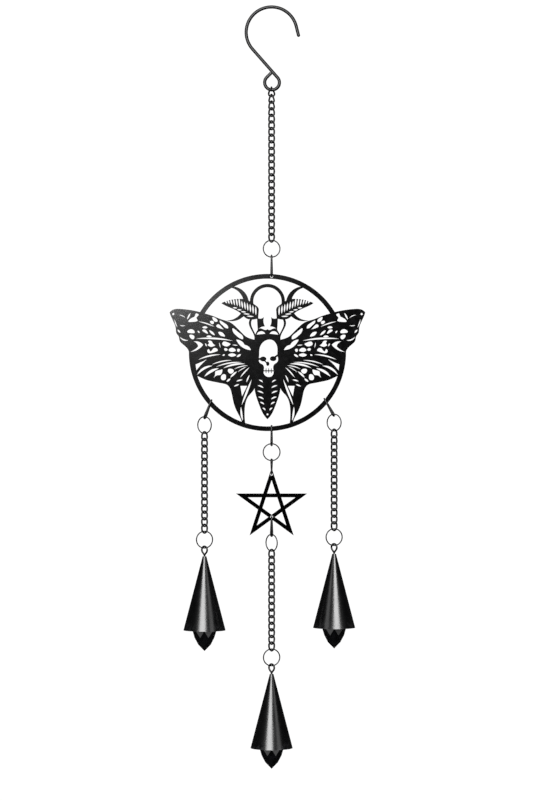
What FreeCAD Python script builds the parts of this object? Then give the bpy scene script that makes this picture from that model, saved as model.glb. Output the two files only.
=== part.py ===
import FreeCAD, Part

import math
import os

from FreeCAD import Vector

# Hanging wind chime. Millimetres, +Z up, +X to the right as seen from the front, the front faces -Y.
# The origin is the lowest point of whatever the hook hangs on touches: the inside top of the hook's arc.

# ---------------------------------------------------------------- driving dimensions

GAP = 0.12                      # running clearance between two wires that hang on each other

HOOK_WIRE_R = 1.1
HOOK_BEND_R = 16.5              # centre line of the big arc
HOOK_TIP_DEG = 14.0             # where the open end leaves the arc, above its level
HOOK_TIP_LENGTH = 6.1          # straight, up to its rounded end
EYE_BEND_R = 4.8                # centre line of the hook's eye
EYE_X = 0.3
EYE_Z = -48.0
EYE_CLOSE_DEG = 45.0            # slope of the wire's end where it closes the eye

LINK_WIRE_R = 0.6
LINK_HALF_WIDTH = 1.7           # centre line
LINK_PITCH = 4.3
LINK_HALF_LENGTH = (LINK_PITCH + 2 * LINK_WIRE_R + GAP) / 2
LINK_TWIST_DEG = 45.0           # each end of a curb link, away from its middle
TOP_LINK_HALF_WIDTH = 2.1       # the wider link that holds the hook's eye
TOP_LINK_HALF_LENGTH = 3.05
TOP_LINK_ENDS_DEG = (95.0, -7.0)            # its plane at its top and at its bottom
TOP_CHAIN_TURNS = (35, 25, 16, 9, 4, 1)     # the first links turn to the front one by one
TOP_RUNS = (5, 6, 5, 6)         # links in the top chain's stretches, from the top link down
LOWER_RUNS = (5, 5, 5)

RING_WIRE_R = 0.4
RING_BEND_R = 5.45

CONNECTOR_WIRE_R = 0.6
CONNECTOR_HALF_WIDTH = 1.75     # centre line
TOP_CONNECTOR_HALF = 6.85       # centre line, half of the length
LOWER_CONNECTOR_HALF = 6.45
STAR_CONNECTOR_HALF = 6.2

PLATE_THICKNESS = 1.2
BAND_OUTER_R = 51.1
BAND_INNER_R = 48.0
BAND_MIDDLE_R = (BAND_OUTER_R + BAND_INNER_R) / 2
PLATE_X = -2.7                  # the plate's centre, from the hanging axis
PLATE_HOLE_R = 0.95
NOTCH_DEPTH = 0.3               # in the band's inner edge, where a connector sits
NOTCH_CLEARANCE = 0.3           # round the connector's wire, which bends
LEFT_NOTCH_DEG = 220.3
RIGHT_NOTCH_DEG = -39.0
LEFT_TILT_DEG = 21.0            # lean of the side connectors, outwards
RIGHT_TILT_DEG = 29.5

STAR_R = 24.4
STAR_BAR = 2.5
STAR_HOLE_DROP = 4.45           # apex hole, below the tip
STAR_HOLE_R = 0.8
STAR_FOOT_HOLE_R = 0.9          # where the lowest two bars cross
STAR_LINK_WIRE_R = 0.45
STAR_LINK_HALF_WIDTH = 1.4
STAR_LINK_HALF = 5.0

BELL_EYE_WIRE_R = 0.6
BELL_EYE_BEND_R = 2.3
BELL_EYE_RISE = 3.4             # centre of the eye's round end, above the point where its sides meet
BELL_NECK = 0.8                 # straight wire between that point and the cone's top
BELL_TOP_R = 1.25
BELL_RIM_R = 13.7
BELL_HEIGHT = 48.0
BELL_WALL = 0.8
BELL_HOLE_R = 0.7
INNER_LOOP_DEPTH = 12.0         # centre of the loop inside the cone, below its top
INNER_LOOP_BEND_R = 1.4
INNER_LOOP_WIRE_R = 0.5

BEAD_PIN_WIRE_R = 0.45
BEAD_RIM_LEVEL = 48.0           # the bead's widest ring, below the cone's top
BEAD_FACETS = 8
# rings of facet corners: height over the widest ring, radius, turn in facets
BEAD_RINGS = ((10.5, 2.0, 0.0), (6.0, 6.2, 0.5), (0.0, 7.9, 0.0), (-4.6, 7.0, 0.5), (-9.4, 4.1, 0.0))
BEAD_TIP = -13.6
BEAD_HOLE_R = 0.5
BEAD_HOLE_DEPTH = 7.0


# ---------------------------------------------------------------- general shapes

def at(x, z, y=0.0):
    """A point given as the front view shows it."""
    return Vector(x, y, z)


def turned(shape, degrees):
    """Turn about the vertical through the origin."""
    copy = shape.copy()
    copy.rotate(Vector(0, 0, 0), Vector(0, 0, 1), degrees)
    return copy


def moved(shape, x, z):
    copy = shape.copy()
    copy.translate(at(x, z))
    return copy


def oval_point(share, half_width, half_length):
    """The point at this share of the way round an oval of two straights and two half circles.

    Gives its two coordinates and the outward normal there."""
    straight = half_length - half_width
    round_end = math.pi * half_width
    way = share * (4 * straight + 2 * round_end)
    side = 1.0
    if way > 2 * straight + round_end:
        side = -1.0
        way -= 2 * straight + round_end
    if way < 2 * straight:
        return side * half_width, side * (way - straight), side, 0.0
    angle = (way - 2 * straight) / half_width
    across = side * math.cos(angle)
    along = side * math.sin(angle)
    return half_width * across, side * straight + half_width * along, across, along


def oval_link(half_width, half_length, wire_r, top_deg, bottom_deg, steps=24, sides=8):
    """A closed oval of round wire, upright, whose plane turns evenly from its bottom to its top.

    The skin is one cubic spline surface, periodic both ways. A cubic spline cuts inside its poles, so the
    poles stand outside the wire by as much."""
    step = (2 * math.pi * half_width + 4 * (half_length - half_width)) / steps
    spread = half_width * 3 / (2 + math.cos(step / half_width)) - half_width
    pole_r = wire_r * 3 / (2 + math.cos(2 * math.pi / sides))
    centres = []
    normals = []
    for i in range(steps):
        across, up, normal_across, normal_up = oval_point(
            (i + 0.5) / steps, half_width + spread, half_length + spread)
        turn = math.radians((top_deg + bottom_deg) / 2 + (top_deg - bottom_deg) / 2 * up / half_length)
        centres.append(Vector(across * math.cos(turn), across * math.sin(turn), up))
        normals.append(Vector(normal_across * math.cos(turn), normal_across * math.sin(turn), normal_up))
    poles = []
    for i in range(steps):
        along = (centres[(i + 1) % steps] - centres[i - 1]).normalize()
        outward = (normals[i] - along * normals[i].dot(along)).normalize()
        sideways = along.cross(outward)
        ring = []
        for j in range(sides):
            angle = 2 * math.pi * j / sides
            ring.append(centres[i] + outward * (pole_r * math.cos(angle))
                        + sideways * (pole_r * math.sin(angle)))
        poles.append(ring)
    skin = Part.BSplineSurface()
    skin.buildFromPolesMultsKnots(
        poles, [1] * (steps + 1), [1] * (sides + 1),
        list(range(steps + 1)), list(range(sides + 1)), True, True, 3, 3)
    solid = Part.Solid(Part.Shell([skin.toShape()]))
    if solid.Volume < 0:
        solid.reverse()
    return solid


def tube(edges, wire_r):
    """Round wire along smoothly joined edges."""
    path = Part.Wire(edges)
    start = path.OrderedEdges[0]
    tangent = start.tangentAt(start.FirstParameter)
    section = Part.Wire([Part.Circle(start.valueAt(start.FirstParameter), tangent, wire_r).toShape()])
    return path.makePipeShell([section], True, True)


def rod(start, end, wire_r):
    return Part.makeCylinder(wire_r, (end - start).Length, start, end - start)


def edge_through(points):
    """Two points give a line, three an arc, more a smooth curve."""
    places = [at(*p) for p in points]
    if len(places) == 2:
        return Part.LineSegment(*places).toShape()
    if len(places) == 3:
        return Part.Arc(*places).toShape()
    curve = Part.BSplineCurve()
    curve.interpolate(places)
    return curve.toShape()


def slab(edges, thickness):
    """Flat sheet inside a closed outline."""
    face = Part.Face(Part.Wire(edges))
    face.translate(Vector(0, -thickness / 2, 0))
    return face.extrude(Vector(0, thickness, 0))


def sheet(*strokes, thickness=PLATE_THICKNESS):
    """Flat sheet whose outline is drawn in strokes, each starting where the one before it ends."""
    return slab([edge_through(s) for s in strokes], thickness)


def cutter(*strokes):
    """A sheet thick enough to cut right through the plate."""
    return sheet(*strokes, thickness=3 * PLATE_THICKNESS)


def lens(start, end, width, bow=0.0):
    """A cut between two arcs, pointed at both ends; bow lifts its middle to the left of its direction."""
    across = end[0] - start[0]
    up = end[1] - start[1]
    length = math.hypot(across, up)
    middle = ((start[0] + end[0]) / 2, (start[1] + end[1]) / 2)
    normal = (-up / length, across / length)
    sides = []
    for offset in (bow + width / 2, bow - width / 2):
        sides.append((middle[0] + normal[0] * offset, middle[1] + normal[1] * offset))
    return cutter([start, sides[0], end], [end, sides[1], start])


def cell(*points):
    """A cut with one smooth closed outline through the points."""
    outline = Part.BSplineCurve()
    outline.interpolate(Points=[at(*p) for p in points], PeriodicFlag=True)
    return slab([outline.toShape()], 3 * PLATE_THICKNESS)


def disc(x, z, radius, thickness):
    return Part.makeCylinder(radius, thickness, at(x, z, -thickness / 2), Vector(0, 1, 0))


def mirrored(shape):
    return shape.mirror(Vector(0, 0, 0), Vector(1, 0, 0))


def both_sides(shapes):
    return list(shapes) + [mirrored(s) for s in shapes]


# ---------------------------------------------------------------- layout, from the hook down

def hung(wire_z, wire_r, own_wire_r, own_half_length):
    """Centre height of a loop that hangs on a wire at this height."""
    return wire_z + wire_r + own_wire_r + GAP - own_half_length


def chain_below(wire_z, wire_r):
    """Centre height of the first link that hangs on this wire."""
    return hung(wire_z, wire_r, LINK_WIRE_R, LINK_HALF_LENGTH)


def ring_below(chain_z, links):
    """Centre height of the ring that hangs on a chain's last link, from its first link's height."""
    last_bight = chain_z - (links - 1) * LINK_PITCH - LINK_HALF_LENGTH
    return hung(last_bight, LINK_WIRE_R, RING_WIRE_R, RING_BEND_R)


def bell_top(ring_z):
    """Height of a cone's top, from the ring that its eye hangs on."""
    bend_z = hung(ring_z - RING_BEND_R, RING_WIRE_R, BELL_EYE_WIRE_R, BELL_EYE_BEND_R)
    return bend_z - BELL_EYE_RISE - BELL_NECK


TOP_LINKS = sum(TOP_RUNS)
LOWER_LINKS = sum(LOWER_RUNS)
TOP_LINK_Z = hung(EYE_Z - EYE_BEND_R, HOOK_WIRE_R, LINK_WIRE_R, TOP_LINK_HALF_LENGTH)
TOP_CHAIN_Z = chain_below(TOP_LINK_Z - TOP_LINK_HALF_LENGTH, LINK_WIRE_R)
TOP_RING_Z = ring_below(TOP_CHAIN_Z, TOP_LINKS)
TOP_CONNECTOR_Z = hung(TOP_RING_Z - RING_BEND_R, RING_WIRE_R, CONNECTOR_WIRE_R, TOP_CONNECTOR_HALF)
PLATE_HANG_Z = TOP_CONNECTOR_Z - TOP_CONNECTOR_HALF
PLATE_Z = PLATE_HANG_Z - math.sqrt(BAND_MIDDLE_R ** 2 - PLATE_X ** 2)

NOTCH_R = BAND_INNER_R - CONNECTOR_WIRE_R - GAP + NOTCH_DEPTH      # where a connector's wire sits
CENTRE_NOTCH = (-PLATE_X, -math.sqrt(NOTCH_R ** 2 - PLATE_X ** 2))
LEFT_NOTCH = (NOTCH_R * math.cos(math.radians(LEFT_NOTCH_DEG)), NOTCH_R * math.sin(math.radians(LEFT_NOTCH_DEG)))
RIGHT_NOTCH = (NOTCH_R * math.cos(math.radians(RIGHT_NOTCH_DEG)), NOTCH_R * math.sin(math.radians(RIGHT_NOTCH_DEG)))


def strand_start(notch, lean_deg):
    """A lower connector's centre and the place of the wire at its lower end. A positive lean goes right."""
    lean = math.radians(lean_deg)
    x = PLATE_X + notch[0]
    z = PLATE_Z + notch[1]
    centre = (x + LOWER_CONNECTOR_HALF * math.sin(lean), z - LOWER_CONNECTOR_HALF * math.cos(lean))
    end = (2 * centre[0] - x, 2 * centre[1] - z)
    return centre, end


LEFT_CONNECTOR_AT, LEFT_END = strand_start(LEFT_NOTCH, -LEFT_TILT_DEG)
RIGHT_CONNECTOR_AT, RIGHT_END = strand_start(RIGHT_NOTCH, RIGHT_TILT_DEG)
CENTRE_CONNECTOR_AT, CENTRE_END = strand_start(CENTRE_NOTCH, 0.0)


def ring_on_connector(connector_end_z):
    return hung(connector_end_z, CONNECTOR_WIRE_R, RING_WIRE_R, RING_BEND_R)


LEFT_RING_Z = ring_on_connector(LEFT_END[1])
RIGHT_RING_Z = ring_on_connector(RIGHT_END[1])
CENTRE_RING_Z = ring_on_connector(CENTRE_END[1])

STAR_LINK_Z = hung(CENTRE_RING_Z - RING_BEND_R, RING_WIRE_R, STAR_LINK_WIRE_R, STAR_LINK_HALF)
STAR_Z = STAR_LINK_Z - STAR_LINK_HALF + STAR_HOLE_DROP - STAR_R
STAR_BAR_APOTHEM = STAR_R * math.cos(math.radians(72))             # of the bars' outer edges
STAR_INNER_APOTHEM = STAR_BAR_APOTHEM - STAR_BAR
STAR_CROTCH = STAR_INNER_APOTHEM / math.cos(math.radians(36))      # lowest corner of the middle opening
STAR_NOTCH = STAR_BAR_APOTHEM / math.cos(math.radians(36))         # the corners between the points
STAR_FOOT_HOLE = (STAR_CROTCH + STAR_NOTCH) / 2                    # both below the star's centre
STAR_CONNECTOR_Z = STAR_Z - STAR_FOOT_HOLE - STAR_CONNECTOR_HALF
CENTRE_LOWER_RING_Z = ring_on_connector(STAR_CONNECTOR_Z - STAR_CONNECTOR_HALF)

LEFT_CHAIN_Z = chain_below(LEFT_RING_Z - RING_BEND_R, RING_WIRE_R)
RIGHT_CHAIN_Z = chain_below(RIGHT_RING_Z - RING_BEND_R, RING_WIRE_R)
CENTRE_CHAIN_Z = chain_below(CENTRE_LOWER_RING_Z - RING_BEND_R, RING_WIRE_R)


# ---------------------------------------------------------------- hook, rings and links

def hook():
    """One bent wire: rounded open tip, big arc, slanted leg and the eye that closes against the leg."""
    big = (0.0, HOOK_WIRE_R - HOOK_BEND_R)
    eye = (EYE_X, EYE_Z)
    apart = math.hypot(eye[0] - big[0], eye[1] - big[1])
    centre_line = math.atan2(eye[1] - big[1], eye[0] - big[0])
    leg = centre_line + math.asin((HOOK_BEND_R + EYE_BEND_R) / apart)

    def on_big(angle):
        return at(big[0] + HOOK_BEND_R * math.cos(angle), big[1] + HOOK_BEND_R * math.sin(angle))

    def on_eye(angle):
        return at(eye[0] + EYE_BEND_R * math.cos(angle), eye[1] + EYE_BEND_R * math.sin(angle))

    tip_angle = math.radians(HOOK_TIP_DEG)
    big_end = leg - math.pi / 2
    tip_start = on_big(tip_angle)
    tip = tip_start + at(math.sin(tip_angle), -math.cos(tip_angle)) * HOOK_TIP_LENGTH
    leg_top = on_big(big_end)
    leg_foot = on_eye(leg + math.pi / 2)
    close = math.radians(EYE_CLOSE_DEG)
    eye_end = on_eye(close + math.pi / 2)
    leg_normal = at(math.sin(leg), -math.cos(leg))
    to_leg = (eye_end - leg_foot).dot(leg_normal)
    closing = at(math.cos(close), math.sin(close))
    reach = (to_leg - HOOK_WIRE_R - GAP) / -closing.dot(leg_normal)
    end = eye_end + closing * reach
    edges = [
        Part.LineSegment(tip, tip_start).toShape(),
        Part.Arc(tip_start, on_big(math.pi / 2), leg_top).toShape(),
        Part.LineSegment(leg_top, leg_foot).toShape(),
        Part.Arc(leg_foot, on_eye(-math.pi / 2), eye_end).toShape(),
        Part.LineSegment(eye_end, end).toShape(),
    ]
    return tube(edges, HOOK_WIRE_R).fuse(Part.makeSphere(HOOK_WIRE_R, tip))


def chain_link(turn_deg):
    return oval_link(LINK_HALF_WIDTH, LINK_HALF_LENGTH, LINK_WIRE_R,
                     turn_deg + LINK_TWIST_DEG, turn_deg - LINK_TWIST_DEG)


def top_link():
    """The wide link at the top of the chain: its upper end is square to the hook's eye."""
    link = oval_link(TOP_LINK_HALF_WIDTH, TOP_LINK_HALF_LENGTH, LINK_WIRE_R, *TOP_LINK_ENDS_DEG)
    return moved(link, 0, TOP_LINK_Z)


def chain(x, first_z, turns):
    """A stretch of links under each other, one for each turn about the vertical."""
    links = []
    for i, turn in enumerate(turns):
        links.append(moved(chain_link(turn), x, first_z - i * LINK_PITCH))
    return Part.makeCompound(links)


def jump_ring(x, z, turn_deg):
    ring = Part.makeTorus(RING_BEND_R, RING_WIRE_R, Vector(0, 0, 0), Vector(0, 1, 0))
    return moved(turned(ring, turn_deg), x, z)


def connector(x, z, half_length, bottom_deg, lean_deg=0.0):
    """A long oval link, square to the plate at its top and turned a little at its bottom."""
    link = oval_link(CONNECTOR_HALF_WIDTH, half_length, CONNECTOR_WIRE_R, 90.0, bottom_deg, steps=32)
    link.rotate(Vector(0, 0, 0), Vector(0, 1, 0), -lean_deg)
    return moved(link, x, z)


def star_link():
    link = oval_link(STAR_LINK_HALF_WIDTH, STAR_LINK_HALF, STAR_LINK_WIRE_R, 70.0, 90.0, steps=28)
    return moved(link, 0, STAR_LINK_Z)


# ---------------------------------------------------------------- the moth plate

def shaft_z(x):
    """Height of an antenna's shaft at this distance from the middle."""
    return 23.0 + 0.63 * (x - 6.6) - 0.0105 * (x - 6.6) ** 2


def antenna_cuts():
    """Gaps between the barbs: upright above the shaft, level below it.

    The outer gaps run out past the antenna's edge, so their barbs end free."""
    cuts = []
    for i in range(12):
        x = 7.5 + 1.72 * i
        top = min(33.6, 30.0 + 0.45 * (x - 7.4)) if x < 17 else 36.2 - 0.2 * (x - 17)
        cuts.append(lens((x, shaft_z(x) + 0.6), (x + 0.2 + 0.06 * (x - 7.5), top), 0.95))
    for inner, outer, z in ((8.9, 13.6, 23.4), (11.4, 15.7, 24.9), (13.9, 17.2, 26.3),
                            (16.7, 19.8, 27.6), (19.6, 22.6, 28.9)):
        cuts.append(lens((inner, z), (outer, z + 0.3), 0.85))
    return cuts


def antenna():
    return sheet(
        [(30.0, 32.1), (26.0, 33.7), (21.0, 34.7), (16.0, 34.8), (12.0, 33.6), (8.6, 31.3), (6.3, 29.6), (5.6, 27.6)],
        [(5.6, 27.6), (5.8, 25.0), (6.0, 22.2)],
        [(6.0, 22.2), (10.0, 21.4), (14.0, 22.3), (16.5, 24.6), (19.0, 26.6), (23.0, 28.6), (30.0, 32.1)])


def crescent():
    return sheet([(27.0, 42.4), (12.0, 31.6), (26.8, 20.9)], [(26.8, 20.9), (15.4, 31.6), (27.0, 42.4)])


def full_moon():
    """The open arc of the full moon, whose ends meet the antennae."""
    outer = disc(0, 33.2, 11.4, PLATE_THICKNESS)
    inner = disc(0, 33.2, 9.2, 3 * PLATE_THICKNESS)
    below = Part.makeBox(40, 10, 30, Vector(-20, -5, 0))
    return outer.cut(inner).cut(below)


def leg_strut():
    """The thin leg between an antenna's foot and the shoulder."""
    return sheet([(11.0, 22.2), (12.1, 18.7), (9.9, 13.6), (8.9, 7.0)], [(8.9, 7.0), (7.5, 7.0)],
                 [(7.5, 7.0), (8.6, 13.4), (10.6, 18.6), (9.4, 22.2)], [(9.4, 22.2), (11.0, 22.2)])


def eye_lobe():
    return sheet([(6.8, 22.8), (4.6, 22.0), (2.2, 23.2)], [(2.2, 23.2), (2.6, 21.2), (1.6, 17.0)],
                 [(1.6, 17.0), (3.6, 16.7), (5.5, 15.6), (6.3, 14.2)], [(6.3, 14.2), (6.6, 18.5), (6.8, 22.8)])


def wing():
    """Fore wing and hind wing with its tail, from the body out to past the band."""
    front_edge = [(6.0, 7.6), (10.5, 8.9), (14.0, 10.4), (16.6, 12.8), (20.0, 16.2), (24.0, 19.5), (30.0, 21.6),
                  (35.0, 23.6), (40.0, 25.2), (45.0, 26.6), (50.0, 27.6), (56.0, 28.3), (61.0, 28.0), (63.6, 26.1)]
    outer_edge = [(63.6, 26.1), (62.6, 23.2), (60.9, 19.6), (59.6, 15.6), (59.2, 12.6), (57.6, 10.2), (57.2, 8.0),
                  (54.6, 5.0), (51.0, -1.0)]
    hind_edge = [(46.6, -14.8), (43.0, -16.5), (40.0, -17.8), (35.0, -19.0), (30.0, -20.0), (26.4, -21.0),
                 (24.4, -23.2), (23.3, -26.5), (22.4, -31.0), (20.4, -37.2), (18.0, -41.8), (16.2, -46.6)]
    tail_edge = [(14.4, -46.9), (14.8, -42.0), (14.8, -37.0), (13.9, -31.6), (12.2, -28.2), (10.2, -26.0),
                 (8.2, -22.6)]
    return sheet(front_edge, outer_edge, [(51.0, -1.0), (49.8, -8.0), (46.6, -14.8)], hind_edge,
                 [(16.2, -46.6), (14.4, -46.9)], tail_edge, [(8.2, -22.6), (6.0, 7.6)])


def fore_wing_cuts():
    """The open cells between the fore wing's veins, from the shoulder out to the tip."""
    cuts = [
        cell((15.8, 9.0), (15.9, 10.3), (18.4, 12.8), (20.6, 14.6), (22.7, 15.7), (22.4, 13.6), (20.2, 11.0),
             (17.4, 9.0)),
        cell((25.5, 16.0), (25.9, 17.4), (28.4, 19.4), (31.1, 20.6), (30.8, 19.4), (29.0, 17.6), (27.0, 15.9)),
        cell((32.5, 20.3), (33.6, 22.2), (35.8, 22.9), (35.5, 21.6), (33.8, 20.0)),
        cell((34.9, 19.0), (35.6, 20.5), (37.3, 20.3), (36.9, 19.1)),
        cell((28.4, 15.1), (30.4, 17.2), (32.4, 18.3), (33.2, 17.5), (31.2, 15.8)),
        cell((38.7, 12.5), (39.6, 14.1), (41.0, 15.0), (42.3, 14.6), (41.0, 13.2)),
        cell((27.6, 10.7), (28.6, 12.3), (30.4, 13.4), (31.9, 13.3), (31.2, 11.7), (29.4, 10.6)),
        cell((47.3, 13.4), (48.4, 14.8), (50.6, 15.0), (52.2, 13.5), (49.8, 12.6)),
        cell((47.5, 9.6), (48.9, 11.5), (50.7, 11.3), (50.0, 9.4), (48.4, 8.6)),
        cell((45.2, 25.1), (46.7, 25.2), (47.2, 23.7), (49.0, 22.6), (51.4, 20.2), (48.6, 19.9), (45.4, 21.0),
             (46.1, 22.8)),
        cell((34.1, 4.9), (35.6, 6.1), (36.8, 7.6), (38.6, 7.4), (37.9, 6.0), (38.8, 5.0), (37.6, 4.0), (35.6, 3.9)),
        cell((24.1, 5.7), (26.4, 6.8), (28.8, 6.9), (29.3, 5.3), (28.0, 4.3), (25.2, 4.4)),
        cell((32.3, 1.7), (33.4, 2.8), (35.0, 2.8), (36.0, 1.5), (37.2, 0.7), (38.2, 2.2), (39.0, 1.6), (38.4, -0.2),
             (36.4, -0.3), (33.8, 0.5)),
        cell((20.6, 1.5), (22.2, 2.9), (24.0, 2.9), (25.2, 1.5), (24.0, 0.6), (21.8, 0.6)),
        cell((20.4, -1.5), (21.6, -0.8), (24.4, -0.8), (25.5, -1.6), (24.4, -2.4), (21.6, -2.4)),
        cell((18.1, 1.0), (18.3, 2.3), (19.3, 2.4), (19.7, 1.0), (18.9, 0.4)),
        cell((25.9, 1.8), (26.6, 2.7), (28.0, 2.6), (27.8, 1.4), (26.6, 1.2)),
        cutter([(20.3, 8.4), (16.8, 7.3), (14.8, 4.9)], [(14.8, 4.9), (12.7, 4.2), (10.8, 1.6)],
               [(10.8, 1.6), (15.8, 3.1), (20.3, 8.4)]),
        cutter([(48.0, 7.1), (44.4, 6.9), (41.8, 5.0)], [(41.8, 5.0), (44.8, 2.2), (50.4, 0.4)],
               [(50.4, 0.4), (46.4, 2.6), (45.0, 4.0)], [(45.0, 4.0), (45.8, 5.8), (48.0, 7.1)]),
        disc(61.2, 25.0, 0.7, 3 * PLATE_THICKNESS),
    ]
    for start, end, width, bow in (
            ((34.4, 16.7), (45.0, 20.2), 0.7, 0.4), ((38.9, 16.3), (42.4, 16.4), 1.5, 0.0),
            ((34.2, 11.2), (37.9, 14.5), 1.4, 0.0), ((44.1, 12.6), (45.4, 14.2), 0.9, 0.0),
            ((22.6, 7.6), (46.7, 8.9), 1.1, 0.9), ((36.2, 10.2), (39.8, 10.4), 1.2, 0.2),
            ((50.0, 25.8), (52.3, 21.4), 1.0, 0.0), ((58.5, 16.2), (60.5, 21.8), 0.6, -0.2),
            ((53.4, 22.6), (57.6, 24.4), 0.5, 0.4), ((53.2, 17.6), (57.2, 17.9), 0.5, -0.4),
            ((56.6, 12.8), (58.5, 14.9), 1.0, 0.0), ((56.9, 10.2), (51.4, 8.0), 0.8, 0.9),
            ((39.5, 4.0), (40.5, 6.0), 0.8, 0.0), ((27.7, -1.3), (29.2, -2.0), 1.0, 0.0),
            ((17.2, -1.1), (20.0, -2.9), 1.3, 0.0), ((19.2, 4.6), (22.9, 5.0), 0.6, 0.0),
            ((30.6, 3.0), (31.4, 6.6), 0.5, 0.0)):
        cuts.append(lens(start, end, width, bow))
    return cuts


def hind_wing_cuts():
    """The rays of the hind wing, which fan out from the body, and the slots beside its tail."""
    cuts = [
        cutter([(17.6, -21.7), (13.2, -21.7)], [(13.2, -21.7), (16.5, -28.4)], [(16.5, -28.4), (17.6, -21.7)]),
        cutter([(39.2, -4.3), (42.8, -6.1), (46.7, -7.7)], [(46.7, -7.7), (46.2, -11.6)],
               [(46.2, -11.6), (43.2, -8.0), (39.2, -4.3)]),
        cell((29.7, -11.0), (31.4, -11.5), (33.9, -12.5), (34.1, -14.6), (35.0, -16.4), (33.0, -14.9),
             (30.2, -14.2)),
        cell((22.0, -11.5), (23.4, -10.6), (25.6, -11.0), (25.1, -13.1), (23.2, -13.6)),
        cell((27.0, -15.3), (27.8, -14.1), (29.8, -14.9), (29.7, -17.7), (27.6, -17.7)),
    ]
    for start, end, width, bow in (
            ((30.4, -1.3), (45.0, -4.7), 0.9, 0.8), ((35.6, -8.6), (45.7, -14.6), 1.4, 1.4),
            ((23.0, -5.0), (36.4, -7.9), 0.7, 0.7), ((16.6, -6.4), (33.6, -9.4), 0.8, 1.0),
            ((31.6, -10.3), (41.0, -15.7), 1.6, 0.9), ((14.4, -7.4), (28.8, -10.2), 1.2, 1.0),
            ((12.6, -8.5), (21.8, -10.9), 0.6, 0.6), ((19.8, -12.3), (24.2, -16.4), 1.2, 0.2),
            ((11.6, -9.6), (17.8, -16.4), 0.8, 0.3), ((13.6, -9.3), (19.4, -12.8), 0.5, 0.3),
            ((24.0, -16.9), (26.6, -19.0), 1.2, 0.0), ((16.2, -17.7), (20.2, -18.8), 0.9, 0.2),
            ((18.4, -20.6), (21.8, -22.0), 0.9, 0.0), ((11.6, -14.6), (13.6, -19.4), 0.8, 0.2),
            ((10.2, -17.4), (16.8, -34.2), 1.3, 0.0),
            ((17.2, -35.2), (16.0, -44.4), 1.2, 0.3)):
        cuts.append(lens(start, end, width, bow))
    return cuts


def body():
    """Thorax and tapered abdomen, one half."""
    return sheet([(0.0, 15.2), (1.6, 14.7), (3.6, 15.5), (6.3, 14.8)],
                 [(6.3, 14.8), (7.8, 12.0), (8.6, 8.0), (8.6, 0.0), (8.2, -8.0), (8.3, -16.0), (8.5, -22.0)],
                 [(8.5, -22.0), (8.0, -26.0), (6.8, -30.2), (5.2, -34.6), (3.2, -39.2), (0.0, -43.4)],
                 [(0.0, -43.4), (0.0, 15.2)])


def body_cuts():
    cuts = [lens((1.4, 12.2), (6.9, 11.6), 1.9, 1.0)]
    for inner, outer, z, width in ((3.0, 5.6, -18.6, 0.8), (2.6, 6.4, -22.2, 0.9), (2.6, 6.6, -25.8, 0.9),
                                   (2.4, 6.0, -29.6, 0.9), (2.2, 4.9, -33.0, 0.9), (1.4, 3.2, -36.8, 0.9)):
        cuts.append(lens((inner, z - 0.8), (outer, z + 0.8), width, 0.3))
    return cuts


def skull_cut():
    """The light of the skull: everything cut away but its sockets, nose, tooth lines and their bridges."""
    light = cutter(
        [(1.9, 8.4), (-2.2, 7.2), (-4.4, 4.6), (-5.3, 1.0), (-5.4, -2.4), (-5.6, -4.8), (-4.9, -6.8), (-3.0, -7.9),
         (-2.2, -10.2), (-2.5, -13.0), (-1.4, -15.0), (0.9, -15.9), (3.2, -15.0), (4.0, -12.6), (3.7, -9.8),
         (4.3, -7.8), (6.3, -6.2), (6.9, -4.4), (6.5, -2.0), (6.5, 1.6), (6.0, 4.8), (4.7, 7.0), (1.9, 8.4)])
    deep = 4 * PLATE_THICKNESS
    socket = Part.makeCylinder(1.0, deep, at(0, 0, -deep / 2), Vector(0, 1, 0))

    def oval(x, z, half_width, half_height):
        stretch = FreeCAD.Matrix()
        stretch.scale(half_width, 1.0, half_height)
        return moved(socket.transformGeometry(stretch), x, z)

    def bar(start, end, width):
        length = math.hypot(end[0] - start[0], end[1] - start[1])
        strip = Part.makeBox(length, deep, width, Vector(0, -deep / 2, -width / 2))
        strip.rotate(Vector(0, 0, 0), Vector(0, 1, 0), -math.degrees(math.atan2(end[1] - start[1], end[0] - start[0])))
        return moved(strip, *start)

    kept = [
        oval(-2.8, -4.2, 2.1, 1.6), bar((-6.5, -4.2), (-2.8, -4.2), 1.3),
        oval(3.7, -4.0, 2.1, 1.6), bar((4.4, -3.4), (7.4, -1.2), 1.2),
        oval(0.2, -7.3, 1.05, 1.4), bar((-2.2, -5.0), (0.2, -7.3), 0.8),
        bar((-3.6, -11.9), (5.0, -11.9), 0.7),
    ]
    for x in (-0.9, 0.8, 2.5):
        kept.append(bar((x, -13.4), (x, -10.3), 0.5))
    return light.cut(kept)


def moth_plate():
    """The whole flat plate, cut from one sheet."""
    band = disc(0, 0, BAND_OUTER_R, PLATE_THICKNESS).cut(disc(0, 0, BAND_INNER_R, 3 * PLATE_THICKNESS))
    halves = both_sides([wing(), body(), antenna(), crescent(), leg_strut(), eye_lobe()])
    plate = band.multiFuse(halves + [full_moon()])
    cuts = both_sides(fore_wing_cuts() + hind_wing_cuts() + body_cuts() + antenna_cuts())
    cuts.append(skull_cut())
    cuts.append(disc(0, -40.2, 0.6, 3 * PLATE_THICKNESS))
    cuts.append(disc(-PLATE_X, PLATE_HANG_Z - PLATE_Z, PLATE_HOLE_R, 3 * PLATE_THICKNESS))
    for notch in (LEFT_NOTCH, RIGHT_NOTCH, CENTRE_NOTCH):
        cuts.append(disc(*notch, CONNECTOR_WIRE_R + NOTCH_CLEARANCE, 3 * PLATE_THICKNESS))
    plate = plate.cut(cuts).removeSplitter()
    return moved(plate, PLATE_X, PLATE_Z)


# ---------------------------------------------------------------- the star

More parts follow.
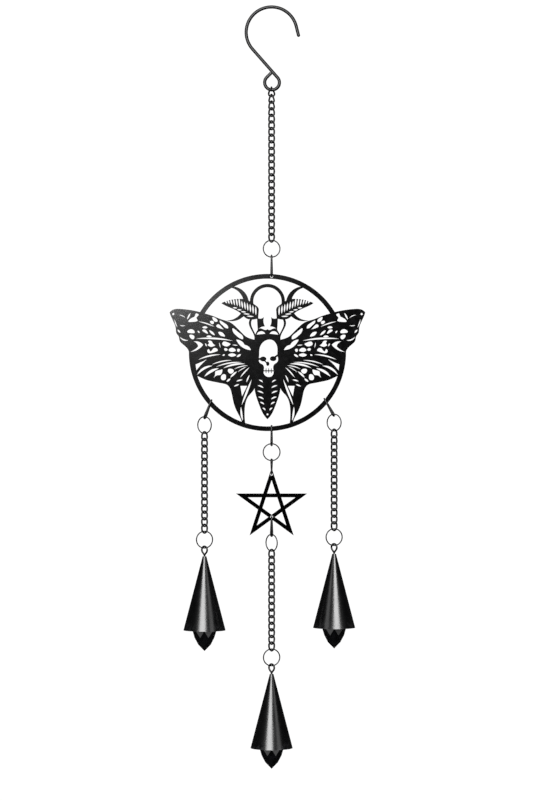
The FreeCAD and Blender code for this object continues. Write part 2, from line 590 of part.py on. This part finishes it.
def star():
    """Flat five-pointed star of five crossing bars, with small holes in its apex and its lowest crossing."""
    def polar(radius, degrees):
        return (radius * math.sin(math.radians(degrees)), radius * math.cos(math.radians(degrees)))

    def polygon(make, corners):
        return make(*[[corners[i - 1], corners[i]] for i in range(len(corners))])

    outline = []
    for i in range(5):
        outline.append(polar(STAR_R, 72 * i))
        outline.append(polar(STAR_NOTCH, 72 * i + 36))
    shape = polygon(sheet, outline)
    openings = [polygon(cutter, [polar(STAR_CROTCH, 72 * i + 36) for i in range(5)])]
    point = STAR_R - STAR_BAR / math.sin(math.radians(18))
    half_base = (point - STAR_BAR_APOTHEM) * math.tan(math.radians(18))
    base_r = math.hypot(STAR_BAR_APOTHEM, half_base)
    base_deg = math.degrees(math.atan2(half_base, STAR_BAR_APOTHEM))
    for i in range(5):
        turn = 72 * i
        openings.append(polygon(cutter, [polar(point, turn), polar(base_r, turn + base_deg),
                                         polar(base_r, turn - base_deg)]))
    openings.append(disc(0, STAR_R - STAR_HOLE_DROP, STAR_HOLE_R, 3 * PLATE_THICKNESS))
    openings.append(disc(0, -STAR_FOOT_HOLE, STAR_FOOT_HOLE_R, 3 * PLATE_THICKNESS))
    return moved(shape.cut(openings), 0, STAR_Z)


# ---------------------------------------------------------------- bells

def bell_eye(x, top_z, turn_deg):
    """Bent wire: a drop-shaped eye over the cone, a tail down through its top and a loop inside."""
    foot = at(0, BELL_NECK)
    bend = at(0, BELL_NECK + BELL_EYE_RISE)
    half_angle = math.asin(BELL_EYE_BEND_R / BELL_EYE_RISE)
    right = bend + at(math.cos(half_angle), -math.sin(half_angle)) * BELL_EYE_BEND_R
    left = bend + at(-math.cos(half_angle), -math.sin(half_angle)) * BELL_EYE_BEND_R
    crown = bend + at(0, BELL_EYE_BEND_R)
    edges = [Part.LineSegment(foot, right).toShape(), Part.Arc(right, crown, left).toShape(),
             Part.LineSegment(left, foot).toShape()]
    first = tube(edges[:2], BELL_EYE_WIRE_R)
    second = rod(left, foot, BELL_EYE_WIRE_R)
    knuckle = Part.makeSphere(BELL_EYE_WIRE_R, foot)
    tail = rod(foot, at(0, INNER_LOOP_BEND_R - INNER_LOOP_DEPTH), BELL_EYE_WIRE_R)
    loop = Part.makeTorus(INNER_LOOP_BEND_R, INNER_LOOP_WIRE_R, at(0, -INNER_LOOP_DEPTH), Vector(0, 1, 0))
    wire = first.multiFuse([second, knuckle, tail, loop])
    return moved(turned(wire, turn_deg), x, top_z)


def bell_cone(x, top_z):
    """Thin sheet cone, open at its rim, with a hole in its top."""
    slope = (BELL_RIM_R - BELL_TOP_R) / BELL_HEIGHT
    inner_rim = BELL_RIM_R - BELL_WALL
    inner_top = (inner_rim - BELL_HOLE_R) / slope - BELL_HEIGHT
    corners = [(BELL_HOLE_R, 0), (BELL_TOP_R, 0), (BELL_RIM_R, -BELL_HEIGHT), (inner_rim, -BELL_HEIGHT),
               (BELL_HOLE_R, inner_top)]
    outline = [edge_through([corners[i - 1], corners[i]]) for i in range(len(corners))]
    shell = Part.Face(Part.Wire(outline)).revolve(Vector(0, 0, 0), Vector(0, 0, 1), 360)
    return moved(shell, x, top_z)


def bead_pin(x, top_z, turn_deg):
    """Wire with a loop that hangs in the cone's inner loop, its foot set in the bead."""
    loop_z = hung(-INNER_LOOP_DEPTH - INNER_LOOP_BEND_R, INNER_LOOP_WIRE_R, BEAD_PIN_WIRE_R, INNER_LOOP_BEND_R)
    bead_top = BEAD_RINGS[0][0] - BEAD_RIM_LEVEL
    loop = Part.makeTorus(INNER_LOOP_BEND_R, BEAD_PIN_WIRE_R, at(0, loop_z), Vector(0, 1, 0))
    pin = rod(at(0, loop_z - INNER_LOOP_BEND_R), at(0, bead_top - BEAD_HOLE_DEPTH + GAP), BEAD_PIN_WIRE_R)
    return moved(turned(loop.fuse(pin), turn_deg), x, top_z)


def bead(x, top_z):
    """Faceted bead, flat on top and pointed below, with a blind hole for its pin."""
    rings = []
    for height, radius, turn in BEAD_RINGS:
        ring = []
        for i in range(BEAD_FACETS):
            angle = 2 * math.pi * (i + turn) / BEAD_FACETS
            ring.append(Vector(radius * math.cos(angle), radius * math.sin(angle), height))
        rings.append(ring)
    tip = Vector(0, 0, BEAD_TIP)

    def facet(*corners):
        return Part.Face(Part.makePolygon(list(corners) + [corners[0]]))

    faces = [facet(*rings[0])]
    for k in range(len(rings) - 1):
        upper = rings[k]
        lower = rings[k + 1]
        ahead = 0 if BEAD_RINGS[k + 1][2] > BEAD_RINGS[k][2] else 1
        for i in range(BEAD_FACETS):
            j = (i + 1) % BEAD_FACETS
            if ahead == 0:
                faces.append(facet(upper[i], upper[j], lower[i]))
                faces.append(facet(lower[i], lower[j], upper[j]))
            else:
                faces.append(facet(upper[i], upper[j], lower[j]))
                faces.append(facet(lower[i], lower[j], upper[i]))
    for i in range(BEAD_FACETS):
        faces.append(facet(rings[-1][i], rings[-1][(i + 1) % BEAD_FACETS], tip))
    stone = Part.Solid(Part.Shell(faces))
    if stone.Volume < 0:
        stone.reverse()
    hole = Part.makeCylinder(BEAD_HOLE_R, BEAD_HOLE_DEPTH + 1, Vector(0, 0, BEAD_RINGS[0][0] - BEAD_HOLE_DEPTH))
    return moved(stone.cut(hole), x, top_z - BEAD_RIM_LEVEL)


# ---------------------------------------------------------------- assembly

def easing(count, start, end):
    """Turns that ease evenly from one to another."""
    return [start + (end - start) * i / (count - 1) for i in range(count)]


def chain_stretches(name, x, first_z, turns, runs):
    """A chain as numbered stretches of links."""
    nodes = {}
    done = 0
    for number, count in enumerate(runs, start=1):
        nodes[f"{name}_{number}"] = chain(x, first_z - done * LINK_PITCH, turns[done:done + count])
        done += count
    return nodes


def top_part():
    turns = list(TOP_CHAIN_TURNS) + easing(TOP_LINKS - len(TOP_CHAIN_TURNS), 0, -14)
    nodes = {"hook": hook(), "top_link": top_link()}
    nodes.update(chain_stretches("top_chain", 0, TOP_CHAIN_Z, turns, TOP_RUNS))
    nodes["top_ring"] = jump_ring(0, TOP_RING_Z, 8)
    nodes["top_connector"] = connector(0, TOP_CONNECTOR_Z, TOP_CONNECTOR_HALF, 78)
    nodes["moth_plate"] = moth_plate()
    return nodes


def lower_strand(side, x, chain_z, turns, ring_turn, eye_turn):
    """Chain, ring, bell and clapper of one strand."""
    nodes = chain_stretches(f"{side}_chain", x, chain_z, turns, LOWER_RUNS)
    ring_z = ring_below(chain_z, LOWER_LINKS)
    top_z = bell_top(ring_z)
    nodes[f"{side}_bell_ring"] = jump_ring(x, ring_z, ring_turn)
    nodes[f"{side}_bell_eye"] = bell_eye(x, top_z, eye_turn)
    nodes[f"{side}_bell_cone"] = bell_cone(x, top_z)
    nodes[f"{side}_bead_pin"] = bead_pin(x, top_z, eye_turn + 90)
    nodes[f"{side}_bead"] = bead(x, top_z)
    return nodes


def middle_part():
    nodes = {}
    nodes["left_connector"] = connector(*LEFT_CONNECTOR_AT, LOWER_CONNECTOR_HALF, 70, -LEFT_TILT_DEG)
    nodes["right_connector"] = connector(*RIGHT_CONNECTOR_AT, LOWER_CONNECTOR_HALF, 70, RIGHT_TILT_DEG)
    nodes["centre_connector"] = connector(*CENTRE_CONNECTOR_AT, LOWER_CONNECTOR_HALF, 80)
    nodes["left_ring"] = jump_ring(LEFT_END[0], LEFT_RING_Z, -35)
    nodes["right_ring"] = jump_ring(RIGHT_END[0], RIGHT_RING_Z, -35)
    nodes["centre_ring"] = jump_ring(0, CENTRE_RING_Z, 0)
    nodes["star_link"] = star_link()
    nodes["star"] = star()
    nodes["star_connector"] = connector(0, STAR_CONNECTOR_Z, STAR_CONNECTOR_HALF, 70)
    nodes["star_ring"] = jump_ring(0, CENTRE_LOWER_RING_Z, -48)
    return nodes


def assembly():
    nodes = top_part()
    nodes.update(middle_part())
    nodes.update(lower_strand("left", LEFT_END[0], LEFT_CHAIN_Z, easing(LOWER_LINKS, 12, -4), 18, -40))
    nodes.update(lower_strand("right", RIGHT_END[0], RIGHT_CHAIN_Z, easing(LOWER_LINKS, 10, -8), 16, -42))
    nodes.update(lower_strand("centre", 0, CENTRE_CHAIN_Z, easing(LOWER_LINKS, 6, -10), 14, -42))
    return nodes


os.makedirs("parts", exist_ok=True)
for name, shape in assembly().items():
    shape.exportStep(f"parts/{name}.step")
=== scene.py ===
import math

import bpy
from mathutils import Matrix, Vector


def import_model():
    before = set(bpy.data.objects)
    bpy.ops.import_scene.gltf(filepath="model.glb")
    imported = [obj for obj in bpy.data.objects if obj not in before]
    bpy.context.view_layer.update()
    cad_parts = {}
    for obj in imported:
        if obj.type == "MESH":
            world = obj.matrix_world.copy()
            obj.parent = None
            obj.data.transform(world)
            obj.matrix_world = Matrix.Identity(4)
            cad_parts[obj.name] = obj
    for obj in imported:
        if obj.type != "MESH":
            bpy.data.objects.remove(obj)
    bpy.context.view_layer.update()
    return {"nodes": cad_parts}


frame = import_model()
NODES = frame["nodes"]

# Metres and watts, +Z up, the chime's front faces -Y. A CAD node's object coordinates are the
# chime's own.

CAMERA_AIM = Vector((0.0035, 0.0, -0.2547))
CAMERA_DISTANCE = 2.0
CAMERA_LENS_MM = 138.3
CAMERA_SENSOR_MM = 36.0

FLOOR_Z = -0.64
FLOOR_R = 0.9
FLOOR_SIDES = 128
FLOOR_PAPER = (0.9, 0.9, 0.9)
FLOOR_SHADE = 0.985
FLOOR_ROUGHNESS = 0.9

WORLD_SEEN = 1.05
WORLD_AS_LIGHT = 0.018

# Noise scales, repeats per metre.
SHEEN_PATCHES = 90.0
RUBBED_AND_LIT_SPOTS = 420.0
ORANGE_PEEL = 2600.0
TARNISH = 500.0
DRAWING_MARKS = 3000.0
GLASS_SWIRL = 260.0
GLASS_PITS = 1500.0
PAPER_CLOUD = 3.0

# How pointed a surface is where it starts to be an edge, and where it surely is one.
EDGE_STARTS, EDGE_IS_SHARP = 0.52, 0.62


# ---------------------------------------------------------------- node helpers

class Nodes:
    """Short ways to build one material's node tree."""

    def __init__(self, name):
        self.material = bpy.data.materials.new(name)
        self.material.use_nodes = True
        self.tree = self.material.node_tree
        self.shader = self.tree.nodes["Principled BSDF"]
        self.place = self.add("ShaderNodeTexCoord").outputs["Object"]

    def add(self, kind, **settings):
        node = self.tree.nodes.new(kind)
        for key, value in settings.items():
            setattr(node, key, value)
        return node

    def link(self, source, target):
        self.tree.links.new(source, target)

    def put(self, socket, value):
        """Link a socket to the input, or set the input to a number or an (r, g, b) colour."""
        if isinstance(value, tuple):
            socket.default_value = (*value, 1.0)
        elif isinstance(value, (int, float)):
            socket.default_value = value
        else:
            self.link(value, socket)

    def noise(self, scale, detail, roughness=0.55):
        node = self.add("ShaderNodeTexNoise")
        node.inputs["Scale"].default_value = scale
        node.inputs["Detail"].default_value = detail
        node.inputs["Roughness"].default_value = roughness
        self.link(self.place, node.inputs["Vector"])
        return node.outputs["Fac"]

    def ranged(self, value, low, high, to_low=0.0, to_high=1.0):
        """Stretch the part of value between low and high to to_low and to_high."""
        node = self.add("ShaderNodeMapRange", clamp=True)
        for key, number in (("From Min", low), ("From Max", high),
                            ("To Min", to_low), ("To Max", to_high)):
            node.inputs[key].default_value = number
        self.link(value, node.inputs["Value"])
        return node.outputs["Result"]

    def calc(self, operation, first, second):
        node = self.add("ShaderNodeMath", operation=operation)
        self.put(node.inputs[0], first)
        self.put(node.inputs[1], second)
        return node.outputs[0]

    def mix(self, share, first, second):
        """Mix two colours, each an (r, g, b) tuple or a socket."""
        node = self.add("ShaderNodeMix", data_type="RGBA")
        self.link(share, node.inputs["Factor"])
        self.put(node.inputs[6], first)
        self.put(node.inputs[7], second)
        return node.outputs[2]

    def edges(self):
        """One where the surface is convex, such as along a wire's ridge or a sheet's rim."""
        pointiness = self.add("ShaderNodeNewGeometry").outputs["Pointiness"]
        return self.ranged(pointiness, EDGE_STARTS, EDGE_IS_SHARP)

    def bump(self, height, strength, distance):
        node = self.add("ShaderNodeBump")
        node.inputs["Strength"].default_value = strength
        node.inputs["Distance"].default_value = distance
        self.link(height, node.inputs["Height"])
        self.shade("Normal", node.outputs["Normal"])

    def shade(self, key, value):
        self.put(self.shader.inputs[key], value)


# ---------------------------------------------------------------- materials

def black_coat(name, dark, light, smooth, rough, wear_and_rim_highlight=(0.03, 0.03, 0.032), grain=ORANGE_PEEL,
               specular=0.5):
    """Baked black coating on metal: fine orange peel, cloudy sheen, edges a little paler in
    spots, partly as worn coating and partly as a painted rim highlight.

    Colour runs from dark to light and roughness from smooth to rough between the sheen patches.
    """
    n = Nodes(name)
    patches = n.noise(SHEEN_PATCHES, 3.0)
    peel = n.noise(grain, 5.0, 0.6)
    colour = n.mix(n.ranged(patches, 0.35, 0.7), dark, light)
    rubbed_and_lit_spots = n.ranged(n.noise(RUBBED_AND_LIT_SPOTS, 3.0), 0.45, 0.62)
    # Paler convex edges in random spots: partly worn coating, partly a painted rim highlight.
    n.shade("Base Color", n.mix(n.calc("MULTIPLY", n.edges(), rubbed_and_lit_spots), colour, wear_and_rim_highlight))
    patch_roughness = n.ranged(patches, 0.3, 0.7, smooth, rough)
    peel_roughness = n.ranged(peel, 0.3, 0.7, -0.03, 0.03)
    n.shade("Roughness", n.calc("ADD", patch_roughness, peel_roughness))
    n.bump(peel, 0.16, 0.00012)
    n.shade("Specular IOR Level", specular)
    return n.material


def ring_metal(name):
    """Bare dark spring wire, drawn marks round it, a little tarnished."""
    n = Nodes(name)
    tarnished = n.ranged(n.noise(TARNISH, 4.0), 0.35, 0.7)
    marks = n.noise(DRAWING_MARKS, 2.0)
    n.shade("Base Color", n.mix(tarnished, (0.022, 0.022, 0.0235), (0.065, 0.065, 0.068)))
    n.shade("Roughness", n.ranged(marks, 0.3, 0.7, 0.22, 0.36))
    n.bump(marks, 0.1, 0.00005)
    n.shade("Metallic", 1.0)
    return n.material


def bead_gloss(name):
    """Faceted black glass paste: deep gloss, faint swirl inside, tiny pits."""
    n = Nodes(name)
    swirl = n.ranged(n.noise(GLASS_SWIRL, 3.0), 0.4, 0.7)
    pits = n.noise(GLASS_PITS, 2.0)
    n.shade("Base Color", n.mix(swirl, (0.0012, 0.0012, 0.0015), (0.004, 0.004, 0.005)))
    n.shade("Roughness", n.ranged(pits, 0.4, 0.7, 0.07, 0.16))
    n.bump(pits, 0.05, 0.00005)
    n.shade("Specular IOR Level", 0.6)
    return n.material


HOOK = black_coat("hook_coat", (0.003, 0.003, 0.0034), (0.005, 0.005, 0.0056), 0.24, 0.32,
                  specular=0.35)
CHAIN = black_coat("chain_coat", (0.003, 0.003, 0.0035), (0.007, 0.007, 0.0078), 0.22, 0.32,
                   wear_and_rim_highlight=(0.035, 0.035, 0.038), specular=0.3)
PLATE = black_coat("plate_coat", (0.0010, 0.0010, 0.0012), (0.0022, 0.0022, 0.0025), 0.17, 0.20,
                   wear_and_rim_highlight=(0.012, 0.012, 0.013), grain=1800.0)
STAR = black_coat("star_coat", (0.0010, 0.0010, 0.0012), (0.0022, 0.0022, 0.0025), 0.38, 0.46,
                  wear_and_rim_highlight=(0.008, 0.008, 0.009))
BELL = black_coat("bell_coat", (0.0008, 0.0008, 0.0010), (0.0020, 0.0020, 0.0023), 0.22, 0.28,
                  wear_and_rim_highlight=(0.02, 0.02, 0.022), specular=0.9)
WIRE = black_coat("wire_coat", (0.003, 0.003, 0.0034), (0.006, 0.006, 0.0066), 0.24, 0.34)
RING = ring_metal("ring_wire")
BEAD = bead_gloss("bead_gloss")


def material_for(name):
    """The material of a CAD node; connectors, bell eyes, bead pins and the star link are WIRE."""
    if name in ("hook", "top_link"):
        return HOOK
    if name == "moth_plate":
        return PLATE
    if name == "star":
        return STAR
    if name.endswith("_ring"):
        return RING
    if name.endswith("_cone"):
        return BELL
    if name.endswith("_bead"):
        return BEAD
    if "_chain_" in name:
        return CHAIN
    return WIRE


for node_name, node in NODES.items():
    node.data.materials.clear()
    node.data.materials.append(material_for(node_name))


# ---------------------------------------------------------------- floor, world and camera

def paper(name, colour):
    """Matt paper, very faintly uneven in tone."""
    n = Nodes(name)
    shaded = tuple(channel * FLOOR_SHADE for channel in colour)
    n.shade("Base Color", n.mix(n.noise(PAPER_CLOUD, 4.0), colour, shaded))
    n.shade("Roughness", FLOOR_ROUGHNESS)
    return n.material


def floor():
    """A plain round floor below the chime. It stays out of the beads' and bells' reflections."""
    bpy.ops.mesh.primitive_circle_add(vertices=FLOOR_SIDES, radius=FLOOR_R, fill_type="NGON",
                                      location=(0, 0, FLOOR_Z))
    plane = bpy.context.object
    plane.name = "floor"
    plane.data.materials.append(paper("floor_paper", FLOOR_PAPER))
    plane.visible_glossy = False
    return plane


def world():
    """White to the camera and a good deal dimmer as a light, so that black metal stays black."""
    studio = bpy.data.worlds.new("studio")
    studio.use_nodes = True
    tree = studio.node_tree
    background = tree.nodes["Background"]
    path = tree.nodes.new("ShaderNodeLightPath")
    strength = tree.nodes.new("ShaderNodeMapRange")
    strength.inputs["To Min"].default_value = WORLD_AS_LIGHT
    strength.inputs["To Max"].default_value = WORLD_SEEN
    tree.links.new(path.outputs["Is Camera Ray"], strength.inputs["Value"])
    tree.links.new(strength.outputs["Result"], background.inputs["Strength"])
    background.inputs["Color"].default_value = (1, 1, 1, 1)
    bpy.context.scene.world = studio


def camera():
    """Straight in front of the chime and level, from far away."""
    data = bpy.data.cameras.new("camera")
    data.lens = CAMERA_LENS_MM
    data.sensor_width = CAMERA_SENSOR_MM
    eye = bpy.data.objects.new("camera", data)
    bpy.context.scene.collection.objects.link(eye)
    eye.location = CAMERA_AIM - Vector((0, CAMERA_DISTANCE, 0))
    eye.rotation_euler = (math.pi / 2, 0, 0)
    bpy.context.scene.camera = eye


ground = floor()
world()
camera()


# ---------------------------------------------------------------- lights

STRANDS = (0, 0, -0.35)
BEADS = (0, 0, -0.44)
UPPER_LEFT_WING = (-0.06, 0, -0.18)

PLATE_NODES = [NODES["moth_plate"]]
RIGHT_BELL_NODES = [NODES["right_bell_cone"], NODES["right_bead"]]
BEAD_NODES = [node for name, node in NODES.items() if name.endswith("_bead")]
KEY_LIT = [node for name, node in NODES.items()
           if name not in ("moth_plate", "right_bell_cone", "right_bead", "star")]


def area_light(name, place, aim, size, power, only=None):
    """A soft box. With only, it lights those nodes and nothing else."""
    data = bpy.data.lights.new(name, "AREA")
    data.shape = "RECTANGLE"
    data.size, data.size_y = size
    data.energy = power
    light = bpy.data.objects.new(name, data)
    bpy.context.scene.collection.objects.link(light)
    light.location = place
    light.rotation_euler = (Vector(aim) - Vector(place)).to_track_quat("-Z", "Y").to_euler()
    if only is not None:
        group = bpy.data.collections.new(name + "_receivers")
        for lit in only:
            group.objects.link(lit)
        light.light_linking.receiver_collection = group


# The right bell's highlight is on the other side of its cone, so it has its own pair of lights.
area_light("key", (-0.235, -1.0, 0.15), STRANDS, (0.70, 1.0), 21.0, KEY_LIT)
area_light("key_right", (0.30, -1.0, 0.15), STRANDS, (0.66, 1.0), 20.0, RIGHT_BELL_NODES)
area_light("fill", (0.9, -0.9, 0.2), STRANDS, (0.55, 1.0), 2.0, KEY_LIT)
area_light("fill_right", (-0.9, -0.9, 0.2), STRANDS, (0.55, 1.0), 2.0, RIGHT_BELL_NODES)

# The sheet metal would mirror the big lights, so it gets only this soft patch, and the star none.
area_light("plate_glow", (-0.13, -0.50, -0.11), UPPER_LEFT_WING, (0.10, 0.10), 1.0, PLATE_NODES)

area_light("glint_left", (-0.45, -0.50, -0.62), BEADS, (0.50, 0.22), 0.45, BEAD_NODES)
area_light("glint_right", (0.45, -0.50, -0.64), BEADS, (0.50, 0.22), 0.45, BEAD_NODES)
area_light("floor_light", (0, 0, 1.5), (0, 0, FLOOR_Z), (2.0, 2.0), 42.0, [ground])
area_light("back", (0.3, 1.2, 0.5), (0, 0, -0.3), (1.2, 1.2), 14.0)

bpy.context.scene.view_settings.view_transform = "Standard"
bpy.context.view_layer.update()
